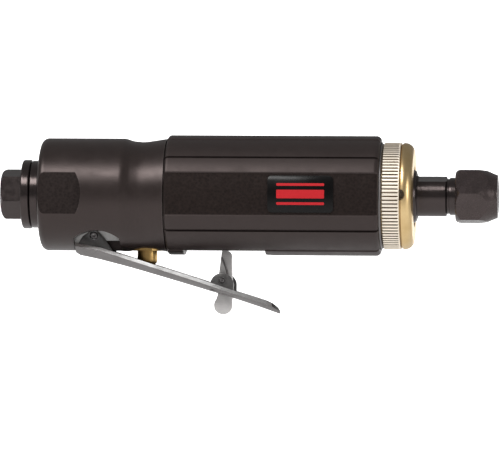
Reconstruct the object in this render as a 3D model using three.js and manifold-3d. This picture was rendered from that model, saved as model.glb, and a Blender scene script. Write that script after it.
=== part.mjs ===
// Air-powered straight die grinder with a lock-off lever throttle and a front exhaust.
// Millimetres, +Z up, +X along the tool axis towards the collet, lever underneath at -Z.
// Stations along the axis are counted from the rear face of the air inlet. The exported group is
// shifted so that its origin lies on the axis at the middle of the grip.

import * as THREE from "three";
import { mergeVertices } from "three/addons/utils/BufferGeometryUtils.js";
import Module from "manifold-3d";

// ---- driving dimensions -------------------------------------------------------------------

const GAP = 0.3; // play kept between neighbouring pieces
const GRIP_CENTRE = 92.6; // station of the origin

const INLET_HEX_AF = 15;
const INLET_HEX_END = 7.1;
const INLET_BORE_R = 5.7; // minor radius of the 1/4 in pipe thread
const INLET_FLANGE_R = 11.65;
const INLET_FLANGE_END = 10.3;
const INLET_SHANK_R = 7.9;
const COLLAR_R = 11.3;

const HOUSING_REAR = 13.8;
const BODY_R = 19;
const BODY_FRONT = 42.4; // end of the full-size rear body
const SADDLE_R = 18;
const BOSS_R = 19.2;
const TUBE_R = 17.9; // housing tube that carries the sleeve
const TUBE_REAR = 56.3;
const HOUSING_FRONT = 129.4;
const MOTOR_BORE_R = 15.8;
const MOTOR_BORE_REAR = 60;
const FLAT_HALF = 17.7; // half distance across the vise flats
const FLAT_RUNOUT_R = 14;
const FLAT_FRONT = 28.7;
const CHAMBER_R = 7;

const SLEEVE_R = 20.2;
const SLEEVE_REAR = 56.6;
const SLEEVE_FRONT = 128.7;
const NEST_Z = -19; // flat on the sleeve over the lock lever
const NEST_REAR = 62.3;
const NEST_FRONT = 90;
const BADGE_REAR = 91.7;
const BADGE_FRONT = 113.8;
const BADGE_HALF = 6.2;

const LEVER_PIN_X = 32.1;
const LEVER_PIN_Z = -14;
const LEVER_PIN_R = 1.25;
const WEB_HALF = 5.5; // half width of the housing web that holds the lever pin
const POCKET_REAR = 24.2;
const POCKET_FRONT = 40.9;
const POCKET_TOP = -11.6;
const LEVER_HALF = 8.2;
const LEVER_SHEET = 1;
const LEVER_FLOOR = 1.3; // sheet thickness measured vertically
const EAR_INNER = 5.8;
const EAR_OUTER = 6.8;

const LOCK_X = 75.4;
const LOCK_Z = -28.8;
const LOCK_PIN_R = 0.9;
const LOCK_HALF = 1.6; // half thickness of the lock blade
const LOCK_SLOT_HALF = 2.1;
const LOCK_CLEAR_HALF = 2.6; // half width of the openings that the lock blade swings through

const VALVE_X = 49.6;
const VALVE_SEAT_Z = -5.3;
const STEM_R = 3.4;
const STEM_BOTTOM = -23.4;
const SHANK_R = 1.6;

const MOTOR_R = 15.4;
const CYLINDER_REAR = 70.7;
const CYLINDER_FRONT = 108.7;
const CYLINDER_BORE_R = 11.6;
const BORE_OFFSET = 1; // eccentricity of the cylinder bore
const ROTOR_R = 10.2;
const VANE_COUNT = 4;
const DOWEL_AT = 13.6;

const NUT_RING_R = 17.95;
const DEFLECTOR_R = 18;
const CLAMP_FRONT = 139.8;

const COLLET_BODY_R = 7;
const COLLET_BODY_FRONT = 151;
const NECK_R = 6.3;
const NECK_FRONT = 161;
const SPINDLE_FLATS_AF = 12;
const SPINDLE_TURN = 15.5; // degrees that the wrench flats are turned at rest
const COLLET_BORE_R = 3.175; // 1/4 in shank
const COLLET_NUT_AF = 17;
const COLLET_NUT_REAR = 153.7;
const COLLET_NUT_FRONT = 168;
const NOSE_R = 7.4;

const FINE = 36; // facets on large rounds
const COARSE = 18; // facets on small rounds

// ---- solids ---------------------------------------------------------------------------------

const wasm = await Module();
wasm.setup();

function toSolid(geometry) {
  const bare = geometry.clone();
  bare.deleteAttribute("normal");
  bare.deleteAttribute("uv");
  const merged = mergeVertices(bare, 1e-4);
  const corners = merged.index.array;
  const kept = [];
  for (let i = 0; i < corners.length; i += 3) {
    const [a, b, c] = [corners[i], corners[i + 1], corners[i + 2]];
    if (a !== b && b !== c && c !== a) kept.push(a, b, c);
  }
  const vertProperties = new Float32Array(merged.attributes.position.array);
  const mesh = new wasm.Mesh({ numProp: 3, vertProperties, triVerts: new Uint32Array(kept) });
  return new wasm.Manifold(mesh);
}

function toGeometry(solid) {
  const mesh = solid.getMesh();
  const geometry = new THREE.BufferGeometry();
  geometry.setAttribute("position", new THREE.BufferAttribute(mesh.vertProperties, 3));
  geometry.setIndex(new THREE.BufferAttribute(mesh.triVerts, 1));
  geometry.computeVertexNormals();
  return geometry;
}

function cut(solid, ...tools) {
  return tools.reduce((rest, tool) => rest.subtract(tool), solid);
}

function join(solid, ...others) {
  return others.reduce((sum, other) => sum.add(other), solid);
}

function signedArea(points) {
  let area = 0;
  points.forEach(([x0, y0], i) => {
    const [x1, y1] = points[(i + 1) % points.length];
    area += x0 * y1 - x1 * y0;
  });
  return area / 2;
}

// Solid of revolution about the tool axis from [station, radius] points.
function turned(profile, sides = FINE) {
  const flipped = profile.map(([x, r]) => [r, x]);
  const points = signedArea(flipped) > 0 ? profile : [...profile].reverse();
  const onAxis = points[0][1] === 0 && points[points.length - 1][1] === 0;
  const closed = onAxis ? points : [...points, points[0]];
  const outline = closed.map(([x, r]) => new THREE.Vector2(r, x));
  const geometry = new THREE.LatheGeometry(outline, sides);
  geometry.rotateZ(-Math.PI / 2);
  return toSolid(geometry);
}

function ring(x0, x1, outer, inner, sides = FINE) {
  return turned([[x0, inner], [x0, outer], [x1, outer], [x1, inner]], sides);
}

function disc(x0, x1, radius, sides = FINE) {
  return turned([[x0, 0], [x0, radius], [x1, radius], [x1, 0]], sides);
}

function extruded(points, depth) {
  const shape = new THREE.Shape(points.map(([u, v]) => new THREE.Vector2(u, v)));
  return new THREE.ExtrudeGeometry(shape, { depth, bevelEnabled: false, curveSegments: 8 });
}

function basis(x, y, z) {
  const vectors = [x, y, z].map((v) => new THREE.Vector3(...v));
  return new THREE.Matrix4().makeBasis(...vectors);
}

// Section in the YZ plane, run along the tool axis.
function alongX(points, x0, x1) {
  const geometry = extruded(points, x1 - x0);
  geometry.applyMatrix4(basis([0, 1, 0], [0, 0, 1], [1, 0, 0]));
  geometry.translate(x0, 0, 0);
  return toSolid(geometry);
}

// Outline in the XZ plane, run across the tool.
function acrossY(points, y0, y1) {
  const geometry = extruded(points, y1 - y0);
  geometry.applyMatrix4(basis([1, 0, 0], [0, 0, 1], [0, -1, 0]));
  geometry.translate(0, y1, 0);
  return toSolid(geometry);
}

// Outline in the XY plane, run upwards.
function upZ(points, z0, z1) {
  const geometry = extruded(points, z1 - z0);
  geometry.translate(0, 0, z0);
  return toSolid(geometry);
}

function block(x0, x1, y0, y1, z0, z1) {
  const geometry = new THREE.BoxGeometry(x1 - x0, y1 - y0, z1 - z0);
  geometry.translate((x0 + x1) / 2, (y0 + y1) / 2, (z0 + z1) / 2);
  return toSolid(geometry);
}

function rodX(radius, x0, x1, y, z, sides = COARSE) {
  return disc(x0, x1, radius, sides).translate([0, y, z]);
}

function rodY(radius, x, z, y0, y1, sides = COARSE) {
  const geometry = new THREE.CylinderGeometry(radius, radius, y1 - y0, sides);
  geometry.translate(x, (y0 + y1) / 2, z);
  return toSolid(geometry);
}

function rodZ(radius, x, y, z0, z1, sides = COARSE) {
  const geometry = new THREE.CylinderGeometry(radius, radius, z1 - z0, sides);
  geometry.rotateX(Math.PI / 2);
  geometry.translate(x, y, (z0 + z1) / 2);
  return toSolid(geometry);
}

// Hexagon of a given width across flats, first corner at the given angle from +Y.
function hexagon(acrossFlats, firstCorner) {
  const radius = acrossFlats / Math.sqrt(3);
  return Array.from({ length: 6 }, (_, i) => {
    const angle = THREE.MathUtils.degToRad(firstCorner + 60 * i);
    return [radius * Math.cos(angle), radius * Math.sin(angle)];
  });
}

// Ring of round section about the tool axis.
function roundRing(x, middle, section, sides = COARSE) {
  const profile = Array.from({ length: 6 }, (_, i) => {
    const angle = (Math.PI / 3) * (i + 0.5);
    return [x + section * Math.cos(angle), middle + section * Math.sin(angle)];
  });
  return turned(profile, sides);
}

function wire(curve, radius, sides, steps) {
  const section = new THREE.Shape();
  for (let i = 0; i < sides; i += 1) {
    const angle = (2 * Math.PI * i) / sides;
    const [u, v] = [radius * Math.cos(angle), radius * Math.sin(angle)];
    if (i === 0) section.moveTo(u, v);
    else section.lineTo(u, v);
  }
  return toSolid(new THREE.ExtrudeGeometry(section, { steps, extrudePath: curve }));
}

// Points of an arc in a plane, angles in degrees.
function arc(cx, cy, radius, from, to, count) {
  return Array.from({ length: count + 1 }, (_, i) => {
    const angle = THREE.MathUtils.degToRad(from + ((to - from) * i) / count);
    return [cx + radius * Math.cos(angle), cy + radius * Math.sin(angle)];
  });
}

class Helix extends THREE.Curve {
  constructor(radius, turns, length) {
    super();
    this.radius = radius;
    this.turns = turns;
    this.length = length;
  }

  getPoint(t, target = new THREE.Vector3()) {
    const angle = 2 * Math.PI * this.turns * t;
    return target.set(this.radius * Math.cos(angle), this.radius * Math.sin(angle), this.length * t);
  }

  getPointAt(t, target) {
    return this.getPoint(t, target);
  }

  getTangentAt(t, target) {
    return this.getTangent(t, target);
  }
}

// ---- finishes -------------------------------------------------------------------------------

const FINISHES = {
  coating: [0x3a3533, 0.2, 0.45],
  sleeve: [0x322e2d, 0, 0.6],
  blackOxide: [0x3c3c3e, 0.9, 0.3],
  steel: [0xb8b6b4, 1, 0.3],
  castIron: [0x74726f, 0.9, 0.5],
  brass: [0xb08a45, 1, 0.3],
  gold: [0xd8c48a, 1, 0.28],
  rubber: [0x1c1c1c, 0, 0.8],
  phenolic: [0x7a4a28, 0, 0.6],
  felt: [0xb9b4a6, 0, 1],
  label: [0x101010, 0, 0.3],
};

const tool = new THREE.Group();
tool.position.x = -GRIP_CENTRE;

function piece(name, solid, finish, group = tool) {
  const [color, metalness, roughness] = FINISHES[finish];
  const material = new THREE.MeshStandardMaterial({ color, metalness, roughness });
  const mesh = new THREE.Mesh(toGeometry(solid), material);
  mesh.name = name;
  group.add(mesh);
  return mesh;
}

// ---- air inlet ------------------------------------------------------------------------------

function inletBushing() {
  const hex = alongX(hexagon(INLET_HEX_AF, 18), 0, INLET_HEX_END + 0.2);
  const dome = turned([[0, 0], [0, 6.7], [1.2, 7.9], [2.7, 9.2], [8, 9.2], [8, 0]]);
  const flange = turned([
    [INLET_HEX_END, 0], [INLET_HEX_END, 10.9], [INLET_HEX_END + 0.8, INLET_FLANGE_R],
    [INLET_FLANGE_END, INLET_FLANGE_R], [INLET_FLANGE_END, INLET_SHANK_R],
    [24, INLET_SHANK_R], [24, 0],
  ]);
  const bore = turned([[-1, 0], [-1, INLET_BORE_R], [12, INLET_BORE_R], [13.5, 4], [25, 4], [25, 0]], 24);
  return cut(join(hex.intersect(dome), flange), bore);
}

function inletScreen() {
  const start = 24.3;
  let screen = disc(start, start + 0.7, CHAMBER_R - GAP, COARSE);
  for (let i = 0; i < 6; i += 1) {
    const angle = (Math.PI / 3) * i;
    const hole = rodX(1.5, start - 1, start + 2, 4.4 * Math.cos(angle), 4.4 * Math.sin(angle), 8);
    screen = screen.subtract(hole);
  }
  return screen.subtract(rodX(1.5, start - 1, start + 2, 0, 0, 8));
}

function addInlet() {
  piece("inlet_bushing", inletBushing(), "blackOxide");
  const collarRear = INLET_FLANGE_END + GAP;
  const collarFront = HOUSING_REAR - GAP;
  piece("inlet_collar", ring(collarRear, collarFront, COLLAR_R, INLET_SHANK_R + GAP), "blackOxide");
  const oRing = piece("inlet_o_ring", roundRing(0, 9.05, 0.85), "rubber");
  oRing.position.x = 15.1;
  piece("inlet_screen", inletScreen(), "brass");
}

// ---- housing --------------------------------------------------------------------------------

function housingOuter() {
  const body = turned([
    [HOUSING_REAR, 0], [HOUSING_REAR, 17], [14.4, 18.4], [15.8, BODY_R], [BODY_FRONT, BODY_R],
    [45.5, SADDLE_R], [51.5, SADDLE_R], [55.3, 18.9], [TUBE_REAR, 18.9], [TUBE_REAR, TUBE_R],
    [HOUSING_FRONT - 0.4, TUBE_R], [HOUSING_FRONT, TUBE_R - 0.4], [HOUSING_FRONT, 0],
  ]);
  const bossRound = ring(POCKET_FRONT, TUBE_REAR, BOSS_R, 12);
  const boss = bossRound.intersect(block(30, 60, -8, 8, -25, -5));
  return join(body, boss);
}

function sideFlat(side) {
  const centre = FLAT_FRONT - FLAT_RUNOUT_R;
  const [y0, y1] = side > 0 ? [FLAT_HALF, 25] : [-25, -FLAT_HALF];
  return rodY(FLAT_RUNOUT_R, centre, 0, y0, y1, 40);
}

function leverPocket() {
  const sides = [-1, 1].map((side) => {
    const [y0, y1] = side > 0 ? [WEB_HALF, 25] : [-25, -WEB_HALF];
    return block(POCKET_REAR, POCKET_FRONT, y0, y1, -25, POCKET_TOP);
  });
  const relief = acrossY(
    [[POCKET_REAR, -17.9], [POCKET_REAR, -25], [31, -25], [31, -19.4]], -WEB_HALF - 1, WEB_HALF + 1,
  );
  return join(sides[0], sides[1], relief);
}

function airPassages() {
  const mouth = disc(HOUSING_REAR - 1, 16.2, 10.2, COARSE);
  const shank = disc(16, 24.4, INLET_SHANK_R + GAP, COARSE);
  const chamber = disc(24.3, 40, CHAMBER_R, COARSE);
  const toValve = rodX(3.4, 39, VALVE_X, 0, 1, 16);
  const valveBore = rodZ(6.3, VALVE_X, 0, -25, 9);
  const toMotor = rodX(2.4, VALVE_X, MOTOR_BORE_REAR + 1, 0, -8.4, 12);
  return join(mouth, shank, chamber, toValve, valveBore, toMotor);
}

function housing() {
  const motorBore = disc(MOTOR_BORE_REAR, HOUSING_FRONT + 1, MOTOR_BORE_R);
  const pinHole = rodY(LEVER_PIN_R + GAP, LEVER_PIN_X, LEVER_PIN_Z, -30, 30, 16);
  const lockPocket = block(65, 79.4, -LOCK_CLEAR_HALF, LOCK_CLEAR_HALF, -25, -16.6);
  return cut(
    housingOuter(), sideFlat(1), sideFlat(-1), leverPocket(), airPassages(), motorBore, pinHole,
    lockPocket,
  );
}

// ---- grip sleeve ----------------------------------------------------------------------------

// Half of the sleeve's section on one side: bands between grooves, a recessed panel in the middle.
function sleeveSide(side) {
  const bands = [
    [SLEEVE_R, 88, 70.2], [SLEEVE_R - 0.35, 69.6, 39.6], [SLEEVE_R - 1, 39, 36.6],
    [SLEEVE_R - 0.1, 36, 21.8], [SLEEVE_R - 0.6, 20.6, -20.6], [SLEEVE_R - 0.1, -21.8, -36],
    [SLEEVE_R - 1, -36.6, -39], [SLEEVE_R - 0.35, -39.6, -69.6], [SLEEVE_R, -70.2, -88],
  ];
  const points = [];
  for (const [radius, from, to] of bands) {
    const count = Math.max(1, Math.round(Math.abs(to - from) / 7));
    points.push(...arc(0, 0, radius, from, to, count));
  }
  return points.map(([u, v]) => [side * u, v]);
}

function gripSleeve() {
  const section = [...sleeveSide(1), ...sleeveSide(-1).reverse()];
  const bar = alongX(section, SLEEVE_REAR, SLEEVE_FRONT);
  const rounding = turned([
    [SLEEVE_REAR - 1, 0], [SLEEVE_REAR - 1, 19.8], [SLEEVE_REAR + 0.4, SLEEVE_R + 1],
    [SLEEVE_FRONT - 1.9, SLEEVE_R + 1], [SLEEVE_FRONT, SLEEVE_R - 1.1], [SLEEVE_FRONT, 0],
  ]);
  const bore = disc(SLEEVE_REAR - 1, SLEEVE_FRONT + 1, TUBE_R + GAP);
  const nest = block(NEST_REAR, NEST_FRONT, -12, 12, -25, NEST_Z);
  const slot = block(65, 92, -LOCK_CLEAR_HALF, LOCK_CLEAR_HALF, -25, -10);
  return cut(bar.intersect(rounding), bore, nest, slot);
}

function badge() {
  const inner = SLEEVE_R - 0.6 + 0.15;
  const shell = ring(BADGE_REAR, BADGE_FRONT, inner + 0.35, inner, 96);
  const corner = 1.6;
  const top = BADGE_HALF - corner;
  const outline = [
    ...arc(BADGE_FRONT - corner, top, corner, 0, 90, 3),
    ...arc(BADGE_REAR + corner, top, corner, 90, 180, 3),
    ...arc(BADGE_REAR + corner, -top, corner, 180, 270, 3),
    ...arc(BADGE_FRONT - corner, -top, corner, 270, 360, 3),
  ];
  return shell.intersect(acrossY(outline, -25, -10));
}

// ---- throttle lever and its lock ----------------------------------------------------------------

const LEVER_UNDERSIDE = [
  [25.9, -20.1], [44.4, -24.6], [67.4, -31.2], [79.5, -34.8], [87.7, -37.5], [93.9, -39.7],
];
const LEVER_LIP_TOP = [
  [94.6, -38.9], [92.4, -37], [89.7, -35.6], [79.5, -32.2], [67.4, -28.2], [44.4, -21.1],
  [34.3, -17.95], [25.9, -16.5],
];

function leverPlan() {
  const tip = arc(89.6, 0, 5.2, -70, 70, 8);
  return [[25, -LEVER_HALF], [76, -LEVER_HALF], ...tip, [76, LEVER_HALF], [25, LEVER_HALF]];
}

function leverTrough() {
  const floor = LEVER_UNDERSIDE.map(([x, z]) => [x, z + LEVER_FLOOR]);
  floor[0][0] -= 2;
  floor[floor.length - 1] = [92.6, -38.1];
  const outline = [...floor, [93.4, -30], [93.4, -10], [floor[0][0], -10]];
  const inset = LEVER_SHEET / LEVER_HALF;
  const plan = leverPlan().map(([x, y]) => [x > 80 ? x - LEVER_SHEET : x - 3, y * (1 - inset)]);
  return acrossY(outline, -LEVER_HALF, LEVER_HALF).intersect(upZ(plan, -45, 0));
}

function leverEars(x, z, radius, rearFoot, frontFoot, footZ) {
  const lobe = [...arc(x, z, radius, 20, 160, 8), [rearFoot, footZ], [frontFoot, footZ - 1.2]];
  return [-1, 1].map((side) => {
    const [y0, y1] = side > 0 ? [EAR_INNER, EAR_OUTER] : [-EAR_OUTER, -EAR_INNER];
    return acrossY(lobe, y0, y1);
  });
}

function throttleLever() {
  const side = acrossY([...LEVER_UNDERSIDE, ...LEVER_LIP_TOP], -LEVER_HALF, LEVER_HALF);
  const channel = cut(side.intersect(upZ(leverPlan(), -45, 0)), leverTrough());
  const rearEars = leverEars(LEVER_PIN_X, LEVER_PIN_Z, 1.9, 26.3, 37, -19.8);
  const frontEars = leverEars(LOCK_X, LOCK_Z, 2.15, 71.3, 79.6, -32);
  const body = join(channel, ...rearEars, ...frontEars);
  const slot = upZ(
    [...arc(87.4, 0, LOCK_SLOT_HALF, -90, 90, 6), ...arc(72.6, 0, LOCK_SLOT_HALF, 90, 270, 6)], -45, -20,
  );
  const rearHole = rodY(LEVER_PIN_R + GAP, LEVER_PIN_X, LEVER_PIN_Z, -10, 10, 16);
  const frontHole = rodY(LOCK_PIN_R + GAP, LOCK_X, LOCK_Z, -10, 10, 12);
  return cut(body, slot, rearHole, frontHole);
}

function lockLever() {
  const outline = [
    [78.5, -37.2], [78.5, -28.8], [78.3, -21.2], [77.9, -20.4], [76.6, -19], [76, -18.6],
    [75.3, -18.6], [74.9, -19],
    [73.8, -28], [73, -29.6], [73.6, -32.6], ...arc(75.45, -37.2, 3.05, 140, 360, 14),
  ];
  const hole = rodY(LOCK_PIN_R + GAP, LOCK_X, LOCK_Z, -5, 5, 12);
  return cut(acrossY(outline, -LOCK_HALF, LOCK_HALF), hole);
}

function lockSpring() {
  const coilRadius = 1.75;
  const wireRadius = 0.35;
  const turns = 3;
  const start = -5.1;
  const end = -2.3;
  const points = [];
  const stepsPerTurn = 8;
  for (let i = 0; i <= turns * stepsPerTurn; i += 1) {
    const angle = (2 * Math.PI * i) / stepsPerTurn;
    const y = start + ((end - start) * i) / (turns * stepsPerTurn);
    points.push(new THREE.Vector3(coilRadius * Math.cos(angle), y, -coilRadius * Math.sin(angle)));
  }
  points.push(new THREE.Vector3(1.2, end, 2.2));
  points.push(new THREE.Vector3(0.2, end, 4.8));
  points.push(new THREE.Vector3(-0.9, end, 7.6));
  const curve = new THREE.CatmullRomCurve3(points);
  return wire(curve, wireRadius, 5, 44);
}

function addLever() {
  piece("throttle_lever", throttleLever(), "steel");
  piece("lever_pin", rodY(LEVER_PIN_R, LEVER_PIN_X, LEVER_PIN_Z, -7.1, 7.1, 16), "steel");
  const lock = new THREE.Group();
  lock.position.set(LOCK_X, 0, LOCK_Z);
  tool.add(lock);
  piece("lock_lever", lockLever(), "steel");
  piece("lock_pin", rodY(LOCK_PIN_R, 0, 0, -7.1, 7.1, 12), "steel", lock);
  piece("lock_spring", lockSpring(), "steel", lock);
}

// ---- throttle valve -----------------------------------------------------------------------------

function valveBushing() {
  const outer = join(rodZ(6, 0, 0, -18.9, -15), rodZ(6, 0, 0, -12.8, VALVE_SEAT_Z));
  const waist = rodZ(4.9, 0, 0, -15.1, -12.7);
  const buttonBore = rodZ(STEM_R + GAP, 0, 0, -20, -11.5);
  const guide = rodZ(SHANK_R + GAP, 0, 0, -12, -10, 16);
  const port = rodZ(3.6, 0, 0, -10.2, -6.6);
  const seat = rodZ(3.2, 0, 0, -7, -5);
  const sidePort = rodX(1.6, 0, 8, 0, -8.4, 12);
  return cut(join(outer, waist), buttonBore, guide, port, seat, sidePort);
}

function valveStem() {
  const button = rodZ(STEM_R, 0, 0, STEM_BOTTOM + 0.5, -15);
  const foot = rodZ(STEM_R - 0.5, 0, 0, STEM_BOTTOM, -20);
  const shank = rodZ(SHANK_R, 0, 0, -15.5, -4.9, 16);
  const spigot = rodZ(1.1, 0, 0, -5, -1.9, 12);
  return join(button, foot, shank, spigot);
}

function addValve() {
  const valve = new THREE.Group();
  valve.position.x = VALVE_X;
  tool.add(valve);
  piece("valve_bushing", valveBushing(), "brass", valve);
  const groove = piece("bushing_o_ring", roundRing(0, 5.6, 0.55), "rubber", valve);
  groove.rotation.y = Math.PI / 2;
  groove.position.z = -13.9;
  piece("valve_stem", valveStem(), "brass", valve);
  const poppetHole = rodZ(1.1 + GAP, 0, 0, -6, 0, 12);
  const poppetBottom = VALVE_SEAT_Z + GAP + 0.1;
  piece("valve_poppet", cut(rodZ(4.2, 0, 0, poppetBottom, -2.7), poppetHole), "rubber", valve);
  const springBottom = -1.9;
  const spring = wire(new Helix(3.1, 5, 9.6), 0.4, 5, 45);
  const coil = piece("valve_spring", spring, "steel", valve);
  coil.position.z = springBottom;
}

// ---- air motor ------------------------------------------------------------------------------------

function ringHoles(x0, x1, radius, at, angles, sides = 8) {
  return angles.map((degrees) => {
    const angle = THREE.MathUtils.degToRad(degrees);
    return rodX(radius, x0, x1, at * Math.cos(angle), at * Math.sin(angle), sides);
  });
}

function rearEndPlate() {
  const plate = disc(61.4, 70.4, MOTOR_R);
  const pocket = disc(61, 68.2, 9.9, COARSE);
  const journal = disc(60, 72, 3.6, COARSE);
  const ports = ringHoles(60, 72, 1.5, 12.4, [-150, -120, -30]);
  const dowel = rodX(1 + GAP, 60, 72, 0, DOWEL_AT, 12);
  return cut(plate, pocket, journal, dowel, ...ports);
}

function motorCylinder() {
  const shell = disc(CYLINDER_REAR, CYLINDER_FRONT, MOTOR_R);
  const bore = disc(60, 120, CYLINDER_BORE_R).translate([0, 0, BORE_OFFSET]);
  const dowel = rodX(1 + GAP, 60, 76, 0, DOWEL_AT, 12);
  const relief = block(80, 120, 13.6, 20, -6, 4);
  const exhaust = [84, 89.5, 95, 100.5].map((x) => rodY(1.7, x, -1, 5, 20, 12));
  return cut(shell, bore, dowel, relief, ...exhaust);
}

function rotor() {
  const barrel = turned([
    [61.8, 0], [61.8, 2.9], [71, 2.9], [71, ROTOR_R], [108.4, ROTOR_R], [108.4, 4.9],
    [123.4, 4.9], [123.4, 4], [134, 4], [134, 0],
  ]);
  const slots = Array.from({ length: VANE_COUNT }, (_, i) => {
    const slot = block(70, 109.5, -1.15, 1.15, 3.6, 12);
    return slot.rotate([(360 / VANE_COUNT) * i, 0, 0]);
  });
  return cut(barrel, ...slots);
}

function endBearing(prefix, x0, width, radii, balls) {
  const [outer, outerRace, innerRace, bore] = radii;
  const middle = (outerRace + innerRace) / 2;
  const ballRadius = (outerRace - innerRace) / 2 - 0.25;
  const centre = x0 + width / 2;
  piece(`${prefix}_bearing_outer`, ring(x0, x0 + width, outer, outerRace, COARSE), "steel");
  piece(`${prefix}_bearing_inner`, ring(x0, x0 + width, innerRace, bore, COARSE), "steel");
  let cage = ring(centre - 0.5, centre + 0.5, middle + 0.4, middle - 0.4, 2 * balls);
  for (let i = 0; i < balls; i += 1) {
    const angle = (2 * Math.PI * i) / balls;
    const ball = new THREE.SphereGeometry(ballRadius, 6, 4);
    ball.translate(centre, middle * Math.cos(angle), middle * Math.sin(angle));
    cage = cage.add(toSolid(ball));
  }
  piece(`${prefix}_bearing_balls`, cage, "steel");
}

function frontEndPlate() {
  const plate = disc(109, 119.2, MOTOR_R);
  const pocket = disc(111.5, 120, 11.4);
  const journal = disc(108, 120, 5.3, COARSE);
  const ports = ringHoles(108, 120, 1.2, 13.5, [0, 20, -20, 180, 160, -160]);
  return cut(plate, pocket, journal, ...ports);
}

function addMotor() {
  piece("rear_gasket", ring(60.3, 61.1, MOTOR_R, 10.6, COARSE), "rubber");
  piece("rear_end_plate", rearEndPlate(), "castIron");
  piece("motor_cylinder", motorCylinder(), "castIron");
  const dowel = piece("cylinder_dowel", rodX(1, 0, 12, 0, 0, 12), "steel");
  dowel.position.set(63, 0, DOWEL_AT);
  piece("rotor", rotor(), "steel");
  for (let i = 0; i < VANE_COUNT; i += 1) {
    const vane = piece(`vane_${i + 1}`, block(71.4, 108, -0.85, 0.85, 3.9, 10), "phenolic");
    vane.rotation.x = (2 * Math.PI * i) / VANE_COUNT;
  }
  endBearing("rear", 61.9, 6, [9.5, 7.9, 4.6, 3.2], 7);
  endBearing("front", 111.9, 6, [11, 9.3, 6.6, 5.2], 10);
  piece("front_end_plate", frontEndPlate(), "castIron");
  piece("wave_washer", ring(118.2, 118.8, 10.9, 8.8, COARSE), "steel");
  piece("front_spacer", ring(118.2, 123.6, 6.9, 5.2, COARSE), "steel");
}

// ---- front end --------------------------------------------------------------------------------------

function clampNut() {
  const body = turned([
    [119.6, 12.4], [119.6, 15.4], [129.7, 15.4], [129.7, 16.4], [135.8, 16.4], [135.8, NUT_RING_R],
    [136.6, NUT_RING_R], [138.4, 17.2], [139.5, 15.9], [CLAMP_FRONT, 14.6], [CLAMP_FRONT, 9.8],
    [137.4, 9.8], [137.4, 13.8], [124, 13.8], [124, 12.4],
  ]);
  const holes = [0, 90].flatMap((degrees) => {
    const hole = rodY(1.95, 135.4, 0, -25, 25, 12);
    const inner = disc(120, 140, 13, COARSE);
    return [cut(hole, inner).rotate([degrees, 0, 0])];
  });
  return cut(body, ...holes);
}

function addFront() {
  piece("clamp_nut", clampNut(), "gold");
  piece("exhaust_deflector", ring(129.7, 135.5, DEFLECTOR_R, 16.8), "gold");
  piece("muffler_felt", ring(124.4, 137, 13.4, 8.2, COARSE), "felt");
  const shield = [[138, 7.6], [138, 9.4], [139.9, 9.4], [140.8, 8.2], [140.8, 7.6]];
  piece("dust_shield", turned(shield, COARSE), "blackOxide");
}

function colletBody() {
  const taper = [[124, 0], [124, COLLET_BODY_R], [150.6, COLLET_BODY_R], [COLLET_BODY_FRONT, 6.5]];
  const body = turned([...taper, [COLLET_BODY_FRONT, NECK_R], [NECK_FRONT, NECK_R], [NECK_FRONT, 0]]);
  const socket = disc(123, 134.4, 4 + GAP, COARSE);
  const cone = turned([[139, 0], [139, 4.4], [162, 5.4], [162, 0]], COARSE);
  const half = SPINDLE_FLATS_AF / 2;
  const flats = [-1, 1].map((side) => {
    const [z0, z1] = side > 0 ? [half, 10] : [-10, -half];
    return block(141.2, 149, -10, 10, z0, z1).rotate([SPINDLE_TURN, 0, 0]);
  });
  return cut(body, socket, cone, ...flats);
}

function collet() {
  const sleeve = turned([
    [141, 0], [141, 4.1], [162, 5.0], [164.4, 5.0], [167.2, 4.4], [167.2, 0],
  ], COARSE);
  const bore = disc(140, 170, COLLET_BORE_R, COARSE);
  const slits = [0, 120, 240].map((degrees) => block(146, 170, -0.4, 0.4, 2, 8).rotate([degrees, 0, 0]));
  return cut(sleeve, bore, ...slits);
}

function colletNut() {
  const hex = alongX(hexagon(COLLET_NUT_AF, 175), COLLET_NUT_REAR, COLLET_NUT_FRONT);
  const cornerR = COLLET_NUT_AF / Math.sqrt(3);
  const envelope = turned([
    [COLLET_NUT_REAR, 0], [COLLET_NUT_REAR, 9.2], [COLLET_NUT_REAR + 0.6, cornerR + 0.1],
    [161, cornerR + 0.1], [COLLET_NUT_FRONT - 0.3, NOSE_R + 0.1], [COLLET_NUT_FRONT, NOSE_R],
    [COLLET_NUT_FRONT, 0],
  ]);
  const bore = turned([
    [150, 0], [150, NECK_R + GAP], [163.2, NECK_R + GAP], [163.8, 5.7], [165, 5.7], [167, 5.2],
    [170, 5.2], [170, 0],
  ], 24);
  return cut(hex.intersect(envelope), bore);
}

function addSpindle() {
  piece("collet_body", colletBody(), "blackOxide");
  piece("collet", collet(), "steel");
  piece("collet_nut", colletNut(), "blackOxide");
}

// ---- assembly ----------------------------------------------------------------------------------------

addInlet();
piece("housing", housing(), "coating");
piece("grip_sleeve", gripSleeve(), "sleeve");
piece("badge", badge(), "label");
addValve();
addLever();
addMotor();
addFront();
addSpindle();

export default tool;
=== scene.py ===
"""Air-powered straight die grinder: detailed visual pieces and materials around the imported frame.

Lengths in this script are millimetres and stations along the tool axis are counted from the rear
face of the air inlet, as in the part's own source. mesh_piece() turns them into the frame's metres.
"""

import math

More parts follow.
